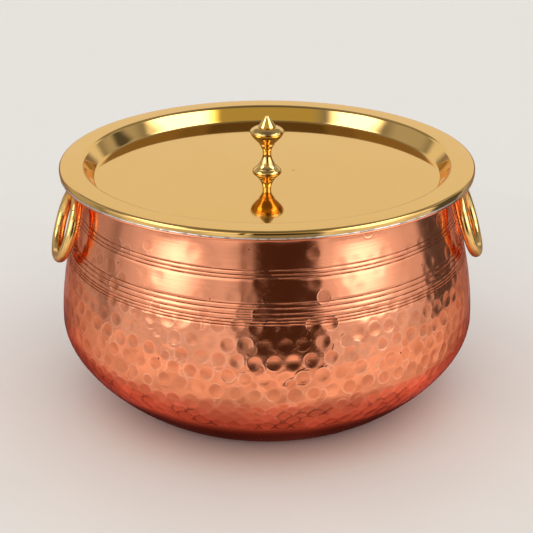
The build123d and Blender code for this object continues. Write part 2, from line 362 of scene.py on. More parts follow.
# Marks as rows of (length along the wall, angle, edge radius, face radius, raised or not), from the
# top row down: evenly spaced along each row, every second row set off by half a gap, and all of
# them moved by a slow wave around the bowl and a little at random
def hammerMarks(rows, lengthAt, radiusAt):
    first, last = (lengthAt(height) for height in rows["heights"])
    count = int(round(2 * math.pi * radiusAt((first + last) / 2) / rows["gap"]))
    found = []
    for row, place in enumerate(np.arange(last, first, -rows["pitch"])):
        along = np.arange(count) + 0.5 * (row % 2) + dice.normal(0, hammered["turnSpread"], count)
        turns = along * 2 * math.pi / count
        wave = hammered["rowWave"] * np.sin(3 * turns + place / 25)
        ripple = hammered["rowRipple"] * np.sin(8 * turns - place / 31 + 1)
        places = place + dice.normal(0, hammered["placeSpread"], count) + wave + ripple
        edges = dice.uniform(*rows["edge"], count)
        faces = dice.uniform(*rows["face"], count)
        edged = dice.uniform(0, 1, count) < rows["edged"]
        kept = (dice.uniform(0, 1, count) < rows["share"]) & (np.abs(np.cos(turns)) > rows["sideways"])
        found.append(np.stack([places, turns, edges, faces, edged], 1)[kept])
    return np.concatenate(found)


# Two values for each point, from one mark after the other. The height inside a mark is squared
# distance less squared edge radius, over twice the face radius, and just outside its edge it goes
# back to what was there before. The gap is the distance to the nearest raised edge, less than
# nothing inside a mark
def markFields(places, radii, columns, marks):
    heights = np.zeros((len(places), columns))
    gaps = np.full((len(places), columns), hammered["edgeReach"])
    width = 2 * math.pi / columns
    for place, angle, edge, face, edged in marks:
        reach = edge + hammered["edgeReach"]
        low, high = np.searchsorted(places, (place - reach, place + reach))
        span = int(reach / (radii[low:high].min() * width)) + 1
        column = int(round(angle / width)) + np.arange(-span, span + 1)
        across = (column[None, :] * width - angle) * radii[low:high, None]
        distance = np.hypot(across, places[low:high, None] - place)
        window = np.ix_(np.arange(low, high), column % columns)
        beyond = np.clip((distance - edge) / hammered["edgeWidth"], 0, 1)
        dent = np.minimum((distance ** 2 - edge ** 2) / (2 * face), 0)
        heights[window] = heights[window] * beyond ** 2 * (3 - 2 * beyond) + dent
        if edged:
            ridge = np.maximum(gaps[window], edge - distance)
            apart = np.where(gaps[window] < 0, ridge, np.minimum(gaps[window], distance - edge))
            gaps[window] = np.where(distance < edge, distance - edge, apart)
    return heights, gaps


# The outer bowl: each point of the wall moves along its normal by the height of the marks, the lines
# and the slow wave there. The inner face is smooth, because the liner hides it
def copperShell(material):
    columns = hammered["columns"]
    hidden = hammered["hiddenColumns"]
    thick = bowl["thickness"]
    lipPoints = bowl["lipPoints"]
    outer = wallFace(0, 0, 0, bowl["flare"], bowl["height"] - thick, 400)
    along = lengthAlong(outer)
    wallEnd = along[-lipPoints]

    def lengthAt(height):
        return float(np.interp(height, outer[:1 - lipPoints, 1], along[:1 - lipPoints]))

    def radiusAt(place):
        return float(np.interp(place, along, outer[:, 0]))

    # Rows of points up the wall: evenly spaced, with three for each cut line
    halfWidth = hammered["grooveHalfWidth"]
    grooves = np.array([lengthAt(height) for height in hammered["grooves"]])
    cutRows = (grooves[:, None] + halfWidth * np.array([-1, 0, 1])).ravel()
    footRows = np.arange(0, lengthAt(hammered["plainFoot"]), hammered["footRowSpacing"])
    wallRows = np.arange(footRows[-1] + hammered["rowSpacing"], wallEnd, hammered["rowSpacing"])
    clear = np.abs(wallRows[:, None] - cutRows[None, :]).min(1) > halfWidth
    places = np.sort(np.concatenate([footRows, wallRows[clear], cutRows, along[-lipPoints:]]))
    radii = np.interp(places, along, outer[:, 0])
    levels = np.interp(places, along, outer[:, 1])
    normalR = np.interp(places, along, np.gradient(outer[:, 1], along))
    normalZ = -np.interp(places, along, np.gradient(outer[:, 0], along))

    marks = np.concatenate([hammerMarks(rows, lengthAt, radiusAt) for rows in hammering])
    height, gaps = markFields(places, radii, columns, marks)

    # The lines are cut after the hammering, a little deeper in places
    angle = np.arange(columns) * 2 * math.pi / columns
    nearness = np.clip(1 - (np.abs(places[:, None] - grooves[None, :]).min(1) / halfWidth) ** 2, 0, 1)
    uneven = 1 + wavesAround(angle, hammered["grooveWaves"])
    height = height - hammered["grooveDepth"] * nearness[:, None] * uneven[None, :]
    # Hand work leaves the wall a little out of round, but not the flange and the foot
    fade = np.sin(math.pi * np.clip(places / wallEnd, 0, 1))
    wave = np.sin(5 * angle)[None, :] * np.sin(places / 19)[:, None] + np.sin(9 * angle + 2)[None, :]
    height = height - hammered["outOfRound"] * fade[:, None] * (1 + wave / 2)
    height[(places < 1) | (places > wallEnd)] = 0

    rings = [np.zeros((1, 3)), ringPoints(bowl["footRadius"] - hammered["footRing"], 0, hidden)]
    for row in range(len(places)):
        radius = radii[row] + normalR[row] * height[row]
        rings.append(ringPoints(radius, levels[row] + normalZ[row] * height[row], columns))
    # The flange's edge is trimmed by hand, so it waves a little
    tremble = wavesAround(angle, hammered["trimWaves"])
    for r, z in arc((bowl["rimRadius"] - thick / 2, bowl["height"] - thick / 2), thick / 2, -90, 90, 7):
        rings.append(ringPoints(r - hammered["trim"] + tremble, z, columns))
    for r, z in wallFace(thick, thick, thick, bowl["flare"] + thick, bowl["height"], 14)[::-1]:
        rings.append(ringPoints(r, z, hidden))
    rings.append(np.array([[0, 0, thick]]))
    shell = ringMesh("hammeredCopper", rings, material)
    # Both fields go to the wall's own points, which follow the foot's two rings
    start = 1 + hidden
    cuts = np.repeat(nearness, columns)
    fields = ("markEdge", gaps.ravel(), hammered["edgeReach"]), ("cutLine", cuts, 0)
    for name, values, elsewhere in fields:
        field = np.full(len(shell.data.vertices), elsewhere, np.float32)
        field[start:start + gaps.size] = values
        shell.data.attributes.new(name, "FLOAT", "POINT").data.foreach_set("value", field)
    return shell


copperLook = {
    "colour": (0.94, 0.375, 0.205, 1),
    "rosy": (0.88, 0.30, 0.155, 1),
    # Paler copper, painted as a highlight on the lips and along the scratches
    "lip": (1.0, 0.52, 0.35, 1),
    # Darker copper, painted as shade on the floors of the marks
    "hollowShade": (0.68, 0.215, 0.105, 1),
    "foot": (0.60, 0.09, 0.035, 1),
    # Dark for the dirt in the lines and pits, and for painted shade in the creases
    "sootAndShade": (0.14, 0.035, 0.018, 1),
    "grazing": (1.0, 0.60, 0.53, 1),
    "lipHeight": 0.050,
    "latheDepth": 0.022,
    "scratchDepth": 0.006,
    "grainDepth": 0.0016,
    "blushDepth": 0.013,
    "creaseDepth": 0.10,
    "pitDepth": 0.05,
    # Heights on the wall, each as the two limits of a smooth step
    "neckFrom": (74, 94),
    "scalesFrom": (23.5, 27.5),
    "scalesTo": (46.5, 41.5),
    "footTurnedTo": (29, 24),
    "reddenedTo": (52, 14),
}


# Hand-hammered copper: painted highlights on the marks' lips, painted shade on their floors and in the
# creases, dirt in the lines
def copperMaterial():
    material, net = newMaterial("hammeredCopperFinish")
    place = net.place()
    z = net.split(place)[2] / mm
    gap = net.node("ShaderNodeAttribute", {"attribute_name": "markEdge"}, output=2)
    cut = net.node("ShaderNodeAttribute", {"attribute_name": "cutLine"}, output=2)
    cloud = net.noise(place, 38, 3)
    blush = net.noise(place, 150, 3)
    patches = net.noise(place, 75, 2)
    # Marks: a soft raised lip along part of each edge, painted paler as a highlight, and a duller floor
    # darkened by painted shade
    arcs = net.step(net.noise(place, 100, 1), 0.45, 0.60)
    neckOnly = net.step(z + cloud * 14, *copperLook["neckFrom"])
    lip = net.step(gap, -0.55, 0.25) * net.step(gap, 1.35, 0.25)
    lip = lip * (0.10 + 1.3 * arcs) * (1 - 0.45 * neckOnly)
    inside = net.step(gap, 0.1, -1.2)
    # The lowest rows overlap like scales, with painted shade in the creases between them
    scales = net.step(z, *copperLook["scalesTo"]) * net.step(z, *copperLook["scalesFrom"])
    creases = net.step(gap, -1.1, -0.1) * net.step(gap, 0.9, 0.1) * net.step(patches, 0.44, 0.56) * scales
    # Fine turning marks around the neck and below the scales: noise squeezed in height
    fineTurned = net.noise(net.stretched(place, (35, 35, 2300)), 1, 3, 0.6)
    wideTurned = net.noise(net.stretched(place, (20, 20, 700)), 1, 2, 0.5)
    turned = neckOnly + net.step(z, *copperLook["footTurnedTo"]) * 1.6
    dirtyCuts = net.step(cut, 0.05, 0.50) * (0.65 + 0.35 * net.step(blush, 0.38, 0.6))
    # Thin scratches in two slanting directions
    scratches = 0
    for tilt, shift in ((0.5, 0.3), (-0.7, 0.9)):
        turning = {"rotation_type": "Y_AXIS"}
        slanted = net.node("ShaderNodeVectorRotate", turning, {"Vector": place, "Angle": tilt})
        lines = net.noise(net.stretched(slanted, (130, 130, 2700)), 1, 1, 0.4, shift)
        scratches = net.step(lines, 0.68, 0.74) * net.step(patches, 0.42, 0.58) + scratches
    pits = net.step(net.spots(place, 95), 0.085, 0.05) * net.step(net.noise(place, 330, 1), 0.56, 0.62)
    grain = net.noise(place, 1500, 3)
    height = (
        lip * (copperLook["lipHeight"] * mm)
        + (fineTurned * 0.8 + wideTurned) * (turned * (copperLook["latheDepth"] * mm))
        + grain * (copperLook["grainDepth"] * mm)
        + blush * (copperLook["blushDepth"] * mm)
        - scratches * (copperLook["scratchDepth"] * mm)
        - creases * (copperLook["creaseDepth"] * mm)
        - pits * (copperLook["pitDepth"] * mm)
    )
    # The lower wall is redder and a little duller
    low = net.step(z + cloud * 10, *copperLook["reddenedTo"])
    colour = net.mixed(cloud, copperLook["colour"], copperLook["rosy"])
    # Painted shade on the floors of the marks, stronger in patches
    colour = net.mixed(inside * (0.15 + 0.5 * net.step(patches, 0.35, 0.62)), colour, copperLook["hollowShade"])
    # Painted highlight on the raised lips and along the scratches
    colour = net.mixed(lip * 0.32 + scratches * 0.2, colour, copperLook["lip"])
    colour = net.mixed(low * 0.6, colour, copperLook["foot"])
    # Dirt in the lines, and painted shade in the creases between the scales
    colour = net.mixed(dirtyCuts * 0.9 + creases * 0.75, colour, copperLook["sootAndShade"])
    colour = net.mixed(pits, colour, copperLook["sootAndShade"])
    roughness = 0.09 + blush * 0.09 + inside * 0.03 + low * 0.06
    roughness = roughness + pits * 0.4 + scratches * 0.1 + dirtyCuts * 0.2
    net.metal({
        "Base Color": colour, "Roughness": roughness, "Normal": net.bump(height),
        "Specular Tint": copperLook["grazing"]})
    return material


copper = copperShell(copperMaterial())
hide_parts("copper_shell")
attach(copper, "bowl")
print("copper shell:", len(copper.data.loops) - 2 * len(copper.data.polygons), "triangles")


# Steel liner

liner = {
    "thickness": 0.6,
    "floor": 4.2,
    "depth": 4.2,
    "neckDepth": 3.8,
    "flare": 8.0,
    "rimRadius": 130.0,
    "hemWidth": 6.0,
    "hemCorner": 0.2,
    "hemStill": 2.0,
    "hemSlope": 4.0,
    "hemSink": 0.10,
    "hemWave": 0.07,
    "hemWaves": [(57, 0.5, 0), (31, 0.8, 2), (83, 0.4, 4)],
    "columns": 320,
}


# The inner bowl: the copper's outline drawn in by a depth, with its edge folded over into a hem. The
# hem's inner part stays, and over its slope the radius comes to shrink by a sink less a wave
def steelLiner(material):
    thin = liner["thickness"]
    base = bowl["height"]
    under = wallFace(liner["floor"], liner["depth"], liner["neckDepth"], liner["flare"], base, 30)
    upper = wallFace(
        liner["floor"] + thin, liner["depth"] + thin, liner["neckDepth"] + thin,
        liner["flare"] + thin, base + thin, 60)
    fold = arc((liner["rimRadius"] - thin, base + thin), thin, -90, 90, 9)
    inner = liner["rimRadius"] - liner["hemWidth"]
    foldTop = base + 2 * thin
    corner = liner["hemCorner"]
    hemEnd = np.array([(inner + corner, foldTop), (inner, foldTop - corner), (inner, base + thin)])
    profile = np.concatenate([under, fold, hemEnd, upper[::-1]])
    columns = liner["columns"]
    angle = np.arange(columns) * 2 * math.pi / columns
    # The folded edge is uneven, as a hem beaten down by hand
    crimp = liner["hemWave"] * wavesAround(angle, liner["hemWaves"])
    rings = [np.array([[0, 0, liner["floor"]]])]
    for r, z in profile:
        share = np.clip((r - inner - liner["hemStill"]) / liner["hemSlope"], 0, 1) * (z > base - 0.01)
        rings.append(ringPoints(r - share * (liner["hemSink"] - crimp), z, columns))
    rings.append(np.array([[0, 0, liner["floor"] + thin]]))
    return ringMesh("steelLiner", rings, material)


steelLook = {
    "dull": (0.70, 0.70, 0.69, 1),
    "bright": (0.80, 0.79, 0.77, 1),
    "stain": (0.20, 0.18, 0.17, 1),
    "scratchDepth": 0.001,
    "dentDepth": 0.05,
    # Where the stains start, from the axis and above the floor, as the two limits of a smooth step
    "stainedOut": (126.5, 129.2),
    "stainedUp": (138, 144),
}


# Brushed steel: turning marks, scratches and dents, each a noise times its depth
def steelMaterial(name, turningDepth):
    material, net = newMaterial(name)
    place = net.place()
    cloud = net.noise(place, 45, 3)
    # Turning marks follow the piece around: noise squeezed in height
    turned = net.noise(net.stretched(place, (30, 30, 1500)), 1, 3, 0.6)
    scratch = net.noise(net.stretched(place, (900, 60, 300)), 1, 2, 0.7, 0.4)
    dents = net.noise(net.stretched(place, (160, 160, 900)), 1, 2)
    height = (
        turned * (turningDepth * mm)
        + scratch * (steelLook["scratchDepth"] * mm)
        + dents * (steelLook["dentDepth"] * mm)
    )
    colour = net.mixed(cloud, steelLook["dull"], steelLook["bright"])
    # The folded edge is stained, the rest only a little
    x, y, z = net.split(place)
    edge = net.step(distanceOut(x, y), *steelLook["stainedOut"]) * net.step(z / mm, *steelLook["stainedUp"])
    worn = 0.08 + 0.47 * edge
    stains = net.step(net.noise(place, 240, 2), 0.50, 0.64) * worn
    colour = net.mixed(stains, colour, steelLook["stain"])
    roughness = 0.22 + cloud * 0.10 + scratch * 0.08 + stains * 0.2
    net.metal({"Base Color": colour, "Roughness": roughness, "Normal": net.bump(height)})
    return material


linerPiece = steelLiner(steelMaterial("brushedSteel", turningDepth=0.004))
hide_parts("steel_liner")
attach(linerPiece, "bowl")
print("steel liner done")


# Lid

lid = {
    "radius": 130.0,
    "top": 152.6,
    "thickness": 0.9,
    "lipBottom": 149.3,
    "bandInner": 115.3,
    "discRadius": 108.5,
    "discTop": 142.8,
    "edgeBend": 1.1,
    "browBend": 2.2,
    "cornerBend": 1.8,
    "hole": 2.75,
    "ripple": 0.035,
    "knobFade": 40.0,
    "edgeFade": 12.0,
    "pointGap": 9.0,
    "columns": 360,
}


# The line at a constant distance to the right of a polyline
def offsetLine(corners, distance):
    corners = np.array(corners, float)
    step = np.diff(corners, axis=0)
    side = np.stack([step[:, 1], -step[:, 0]], 1) / np.linalg.norm(step, axis=1)[:, None]
    before = np.concatenate([side[:1], side])
    after = np.concatenate([side, side[-1:]])
    share = 1 + (before * after).sum(1)
    return corners + distance * (before + after) / share[:, None]


# The lid: one outline of its upper face, and the same outline moved in by the sheet's thickness
def lidPan(material):
    thin = lid["thickness"]
    top = np.array([
        (lid["hole"], lid["discTop"]),
        (lid["discRadius"], lid["discTop"]),
        (lid["bandInner"], lid["top"]),
        (lid["radius"], lid["top"]),
        (lid["radius"], lid["lipBottom"]),
    ])
    upper = rounded(top, [lid["cornerBend"], lid["browBend"] + thin, lid["edgeBend"] + thin], 11)
    lower = rounded(
        offsetLine(top, thin), [lid["cornerBend"] + thin, lid["browBend"], lid["edgeBend"]], 7)
    profile = np.concatenate([refined(lower, lid["pointGap"]), refined(upper, lid["pointGap"])[::-1]])
    columns = lid["columns"]
    angle = np.arange(columns) * 2 * math.pi / columns
    rings = []
    for r, z in profile:
        # Spun sheet is never quite flat: a slow ripple that fades at the knob and the edge
        share = np.clip(r / lid["knobFade"], 0, 1) * np.clip((lid["radius"] - r) / lid["edgeFade"], 0, 1)
        wave = np.sin(3 * angle + r / 17) + 0.6 * np.sin(5 * angle - r / 23)
        rings.append(ringPoints(r, z + lid["ripple"] * share * wave, columns))
    return ringMesh("lidPan", rings, material, closed=True, sharpAngle=50)


brassLook = {
    "pale": (0.84, 0.535, 0.190, 1),
    "warm": (0.80, 0.480, 0.150, 1),
    "golden": (0.88, 0.60, 0.21, 1),
    "stain": (0.40, 0.20, 0.05, 1),
    "pit": (0.20, 0.10, 0.03, 1),
    "grazing": (1.0, 0.90, 0.72, 1),
    "hairDepth": 0.0009,
    "cloudDepth": 0.012,
    "speckDepth": 0.02,
    "turnedDepth": 0.0022,
    "lumpDepth": 0.045,
    "grainDepth": 0.0015,
    "pitDepth": 0.09,
}


# Satin brass: hairlines and slow clouds, less a few sunken specks
def lidMaterial():
    material, net = newMaterial("satinBrassFinish")
    place = net.place()
    cloud = net.noise(place, 16, 4, 0.6, 0.6)
    fine = net.noise(place, 90, 3)
    # Polishing hairlines in two directions
    first = net.noise(net.stretched(place, (40, 1400, 300)), 1, 2, 0.6, 0.3)
    second = net.noise(net.stretched(place, (1100, 90, 300)), 1, 2, 0.6, 0.3)
    specks = net.step(net.spots(place, 60), 0.07, 0.04) * net.step(fine, 0.60, 0.66)
    height = (
        (first + second * 0.6) * (brassLook["hairDepth"] * mm)
        + cloud * (brassLook["cloudDepth"] * mm)
        - specks * (brassLook["speckDepth"] * mm)
    )
    colour = net.mixed(cloud, brassLook["pale"], brassLook["warm"])
    colour = net.mixed(specks * 0.6, colour, brassLook["stain"])
    roughness = 0.035 + cloud * 0.025 + first * 0.02 + specks * 0.25
    net.metal({
        "Base Color": colour, "Roughness": roughness, "Normal": net.bump(height),
        "Specular Tint": brassLook["grazing"]})
    return material


pan = lidPan(lidMaterial())
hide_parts("lid_pan")
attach(pan, "lid")
print("lid done")


# Knob: the radius at each height, the rise of each part above the one below it, and the curves'
# fullness as shares of their rise or reach

knob = {
    "seatInset": 0.5,
    "footRadius": 9.2,
    "footHeight": 0.5,
    "footEdge": 0.15,
    "shoulderRadius": 6.3,
    "bellRise": 3.1,
    "bellFullness": 0.25,
    "bellSlope": 0.40,
    "waistRadius": 2.75,
    "stemRise": 8.8,
    "stemSlope": 0.20,
    "stemFullness": 0.45,
    "throatRise": 5.0,
    "throatSlope": 0.24,
    "throatFullness": 0.40,
    "beadRadius": 4.85,
    "beadThickness": 0.7,
    "saucerRadius": 10.85,
    "cupRise": 8.0,
    "cupSpread": 0.35,
    "cupLift": 0.30,
    "cupTaper": 0.06,
    "cupFullness": 0.34,
    "domeRise": 3.1,
    "domeFullness": 0.40,
    "domeFlatness": 0.10,
    "coneRadius": 5.6,
    "coneRise": 6.25,
    "tipRadius": 1.1,
    "tipRise": 0.55,
    "tipFullness": 0.60,
    "lineWidth": 0.5,
    "lineDepth": 0.12,
    "bellLine": 0.69,
    "stemLine": 0.25,
    "domeLine": 0.25,
    "threadRadius": 2.5,
    "threadDepth": 8.2,
    "columns": 128,
}


# A curve with a line turned into it: the points across the line's width sink into the surface by
# the line's depth times one less the squared distance from its middle
def turnedLine(curve, share):
    half = knob["lineWidth"] / 2
    along = lengthAlong(curve)
    middle = np.interp(share, np.linspace(0, 1, len(curve)), along)
    kept = along[np.abs(along - middle) > 1.2 * half]
    places = np.sort(np.concatenate([kept, middle + half * np.linspace(-1, 1, 5)]))
    points = np.stack([np.interp(places, along, curve[:, axis]) for axis in (0, 1)], 1)
    ahead = np.gradient(points, axis=0)
    inward = np.stack([-ahead[:, 1], ahead[:, 0]], 1) / np.linalg.norm(ahead, axis=1)[:, None]
    sink = knob["lineDepth"] * np.clip(1 - ((places - middle) / half) ** 2, 0, 1)
    return points + inward * sink[:, None]


# The knob's outline from the hole in its foot to its tip: one curve for each part, stacked by the rises
def knobPiece(material):
    k = knob
    foot, shoulder, waist, saucer = (k[part + "Radius"] for part in ("foot", "shoulder", "waist", "saucer"))
    root = k["beadRadius"] - k["beadThickness"] / 2
    domeRadius = k["coneRadius"] + k["lineWidth"]
    cupReach = saucer - root
    rises = ("footHeight", "bellRise", "stemRise", "throatRise", "beadThickness", "cupRise", "domeRise",
             "lineWidth", "coneRise", "tipRise")
    levels = np.cumsum([k[rise] for rise in rises])
    footTop, bellTop, waistLevel, beadLow, beadHigh, saucerLevel, domeTop, coneFoot, tipFoot, top = levels
    bell = bezier([
        (foot, footTop),
        (foot, footTop + k["bellFullness"] * k["bellRise"]),
        (shoulder + k["bellSlope"] * k["bellRise"], bellTop - k["bellSlope"] * k["bellRise"]),
        (shoulder, bellTop),
    ], 15)
    stem = bezier([
        (shoulder, bellTop),
        (shoulder - k["stemSlope"] * k["stemRise"], bellTop + k["stemSlope"] * k["stemRise"]),
        (waist, waistLevel - k["stemFullness"] * k["stemRise"]),
        (waist, waistLevel),
    ], 21)
    throat = bezier([
        (waist, waistLevel),
        (waist, waistLevel + k["throatFullness"] * k["throatRise"]),
        (root - k["throatSlope"] * k["throatRise"], beadLow - k["throatFullness"] * k["throatRise"]),
        (root, beadLow),
    ], 12)
    cup = bezier([
        (root, beadHigh),
        (root + k["cupSpread"] * cupReach, beadHigh + k["cupLift"] * k["cupRise"]),
        (saucer - k["cupTaper"] * cupReach, saucerLevel - k["cupFullness"] * k["cupRise"]),
        (saucer, saucerLevel),
    ], 18)
    dome = bezier([
        (saucer, saucerLevel),
        (saucer, saucerLevel + k["domeFullness"] * k["domeRise"]),
        ((saucer + domeRadius) / 2, domeTop - k["domeFlatness"] * k["domeRise"]),
        (domeRadius, domeTop),
    ], 16)
    tipCorner = (k["tipFullness"] * k["tipRadius"], top)
    seat = foot - k["seatInset"]
    edge = k["footEdge"]
    profile = np.concatenate([
        [(0, k["threadDepth"]), (k["threadRadius"], k["threadDepth"]), (k["threadRadius"], 0)],
        bezier([(seat, 0), (foot - edge, 0), (foot, edge), (foot, footTop)], 6)[:-1],
        turnedLine(bell, k["bellLine"]),
        turnedLine(stem, k["stemLine"])[1:],
        throat[1:],
        arc((root, (beadLow + beadHigh) / 2), k["beadThickness"] / 2, -90, 90, 9)[1:-1],
        cup,
        turnedLine(dome, k["domeLine"])[1:],
        [(k["coneRadius"] - k["lineWidth"] / 2, domeTop), (k["coneRadius"], coneFoot)],
        bezier([(k["tipRadius"], tipFoot), tipCorner, tipCorner, (0, top)], 7),
    ])
    profile[:, 1] += lid["discTop"]
    return turnedPiece("lidKnob", profile, k["columns"], material, sharpAngle=32)


# Polished brass with turning marks around the axis
def knobMaterial():
    material, net = newMaterial("turnedBrassFinish")
    place = net.place()
    turned = net.noise(net.stretched(place, (60, 60, 3800)), 1, 2, 0.6)
    cloud = net.noise(place, 160, 2)
    bumps = net.bump(turned * (brassLook["turnedDepth"] * mm))
    colour = net.mixed(cloud, brassLook["golden"], brassLook["pale"])
    roughness = 0.05 + cloud * 0.05 + turned * 0.03
    net.metal({
        "Base Color": colour, "Roughness": roughness, "Normal": bumps,
        "Specular Tint": brassLook["grazing"]})
    return material


knobTop = knobPiece(knobMaterial())
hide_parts("lid_knob")
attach(knobTop, "lid")
print("knob done")


# Ring handles

ring = {
    "meanRadius": 21.2,
    "wireRadius": 3.5,
    "lean": 19.0,
    "around": 160,
    "section": 40,
    "swells": (0.010, 0.007, 0.006, 0.005),
    "seamHeight": 0.05,
    "seamWidth": 0.12,
}


# A torus that hangs from its pivot: the wire's centre runs around a circle in the leaning plane and
# each section is a circle whose radius swells a little along the wire, as cast metal does
def handlePiece(name, joint, seed, material):
    cast = np.random.default_rng(seed)
    pivot = np.array(joint["pos_m"]) / mm
    outward = np.array([pivot[0], pivot[1], 0]) / np.hypot(pivot[0], pivot[1])
    lean = math.radians(ring["lean"])
    down = math.sin(lean) * outward + math.cos(lean) * np.array([0, 0, -1])
    along = np.cross(np.array([0, 0, 1.0]), outward)
    through = np.cross(along, down)
    turn = (np.arange(ring["around"]) * 2 * math.pi / ring["around"])[:, None, None]
    roll = (np.arange(ring["section"]) * 2 * math.pi / ring["section"])[None, :, None]
    phases = cast.uniform(0, 2 * math.pi, 4)
    slow, quick, skew, twist = ring["swells"]
    swell = 1 + slow * np.sin(2 * turn + phases[0]) + quick * np.sin(5 * turn + phases[1])
    swell = swell + skew * np.sin(3 * roll + 4 * turn + phases[2]) + twist * np.sin(2 * roll - 7 * turn)
    # Where the two halves of the mould met, a faint seam was left around the outside
    offset = (roll + 0.5 * math.pi) % (2 * math.pi) - 0.5 * math.pi
    seam = ring["seamHeight"] * np.exp(-(offset / ring["seamWidth"]) ** 2)
    wire = ring["wireRadius"] * swell + seam * (0.5 + 0.5 * np.sin(3 * turn + phases[3]))
    outwards = np.sin(turn) * along - np.cos(turn) * down
    points = pivot + ring["meanRadius"] * (down + outwards)
    points = points + wire * (np.cos(roll) * outwards + np.sin(roll) * through)
    return ringMesh(name, list(points), material, closed=True)


# Cast brass: lumps and grain, less the pits
def castMaterial():
    material, net = newMaterial("castBrassFinish")
    place = net.place()
    lumps = net.noise(place, 190, 2)
    cloud = net.noise(place, 70, 3)
    grain = net.noise(place, 900, 3)
    pits = net.step(net.spots(place, 300), 0.17, 0.08) * net.step(net.noise(place, 110, 1), 0.55, 0.63)
    height = (
        lumps * (brassLook["lumpDepth"] * mm)
        + grain * (brassLook["grainDepth"] * mm)
        - pits * (brassLook["pitDepth"] * mm)
    )
    colour = net.mixed(cloud, brassLook["golden"], brassLook["pale"])
    colour = net.mixed(pits * 0.8, colour, brassLook["pit"])
    roughness = 0.13 + cloud * 0.08 + pits * 0.3
    net.metal({
        "Base Color": colour, "Roughness": roughness, "Normal": net.bump(height),
        "Specular Tint": brassLook["grazing"]})
    return material


castBrass = castMaterial()
joints = {joint["name"]: joint for joint in frame["joints"]}
for side, seed in (("left", 3), ("right", 8)):
    handle = handlePiece(side + "Ring", joints[side + "_ring_swing"], seed, castBrass)
    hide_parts(side + "_ring")
    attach(handle, side + "_ring")
print("rings done")


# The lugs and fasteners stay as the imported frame's own nodes, in cast brass and in steel

fastenerSteel = steelMaterial("fastenerSteel", turningDepth=0.002)
carriedOver = {"left_lug": castBrass, "right_lug": castBrass}
for node in ("knob_screw", "knob_washer", "left_lug_washer", "right_lug_washer"):
    carriedOver[node] = fastenerSteel
for node, material in carriedOver.items():
    frame["nodes"][node].data.materials.clear()
    frame["nodes"][node].data.materials.append(material)


# Stage, light and camera

studio = {
    "floorColour": (0.80, 0.79, 0.78, 1),
    "floorShade": (0.74, 0.73, 0.72, 1),
    "floorSize": 6000.0,
    "floorDrop": 0.1,
    "tableRadius": 420.0,
    "tableTint": (1.0, 0.84, 0.74, 1),
    # The copper-coloured light painted on the table near the bowl
    "copperBounceTint": (1.0, 0.42, 0.38, 1),
    "glowTint": (1.0, 0.74, 0.68, 1),
    "warmTint": (1.0, 0.88, 0.36, 1),
    "gapTint": (1.0, 0.53, 0.30, 1),
    "backdrop": (0.86, 0.85, 0.84, 1),
}


# Pale paint, mottled by a slow noise
def floorMaterial():
    material, net = newMaterial("floorPaint")
    shade = net.noise(net.place(), 3, 2)
    colour = net.mixed(shade * 0.15, studio["floorColour"], studio["floorShade"])
    surface = net.node("ShaderNodeBsdfPrincipled", {}, {"Base Color": colour, "Roughness": 0.8})
    net.node("ShaderNodeOutputMaterial", {}, {"Surface": surface})
    return material


# 1 between two limits and 0 outside them, with a smooth step across each
def window(net, value, low, high, soft):
    return net.step(value, low - soft, low + soft) * net.step(value, high + soft, high - soft)


# A value led towards another by a share
def led(value, target, share):
    return value + share * (target - value)


# What the metal mirrors of the table: dark in the bowl's own shadow and behind it, bright in front
def tableMaterial():
    material, net = newMaterial("tableLight")
    place = net.place()
    x, y, _ = net.split(place)
    radius = distanceOut(x, y)
    turn = turnOf(x, y).maths("ABSOLUTE")
    # Dark under the bowl and brighter with the distance from it
    light = 0.05 + 0.35 * net.step(radius, 104, 122) + 0.36 * net.step(radius, 118, 205)
    light = light + 0.20 * net.step(radius, 190, 300)
    # Brighter close in front and in a patch to each side of that, darker at the foot further round
    front = net.step(turn, 34, 4) * net.step(radius, 190, 130)
    shaded = net.step(turn, 15, 40) * net.step(radius, 130, 108)
    corner = net.step(turn, 18, 36) * net.step(turn, 80, 55) * net.step(radius, 172, 150)
    light = light * (1.03 + 0.6 * front + 0.5 * corner - 0.55 * shaded)
    # The light fails to the sides and comes back a little straight behind
    sides = 0.35 + 0.20 * net.step(radius, 230, 180)
    around = 1 - sides * net.step(turn, 58, 98)
    around = around - 0.25 * net.step(turn, 96, 122) + 0.30 * net.step(turn, 150, 168)
    streaks = net.step(net.noise(place, 11, 3, 0.6), 0.32, 0.68)
    glow = light * around * (0.72 + 0.5 * streaks)
    # Near the bowl the table glows in the copper's colour: painted light thrown onto it from the copper
    copperBounce = net.step(radius - 35 * net.step(turn, 60, 100), 230, 105) * (1 + 0.3 * net.step(turn, 20, 70))
    colour = net.mixed(copperBounce, studio["tableTint"], studio["copperBounceTint"])
    surface = net.node("ShaderNodeEmission", {}, {"Color": colour, "Strength": glow})
    net.node("ShaderNodeOutputMaterial", {}, {"Surface": surface})
    return material


# One flat face through the points of an outline, as a part of the stage
def flatPiece(name, outline, material):
    mesh = bpy.data.meshes.new(name)
    mesh.from_pydata(outline, [], [list(range(len(outline)))])
    mesh.materials.append(material)
    piece = bpy.data.objects.new(name, mesh)
    bpy.context.scene.collection.objects.link(piece)
    return piece


half = studio["floorSize"] / 2 * mm
under = -studio["floorDrop"] * mm
corners = [(-half, -half, under), (half, -half, under), (half, half, under), (-half, half, under)]
floor = flatPiece("floor", corners, floorMaterial())
floor.visible_glossy = False
# What the metal mirrors of the floor is a round table, so that the studio's sides show beyond it
circle = ringPoints(studio["tableRadius"], 0, 96) * mm
table = flatPiece("table", [tuple(point) for point in circle.tolist()], tableMaterial())
table.visible_camera = False
table.visible_diffuse = False
table.visible_shadow = False


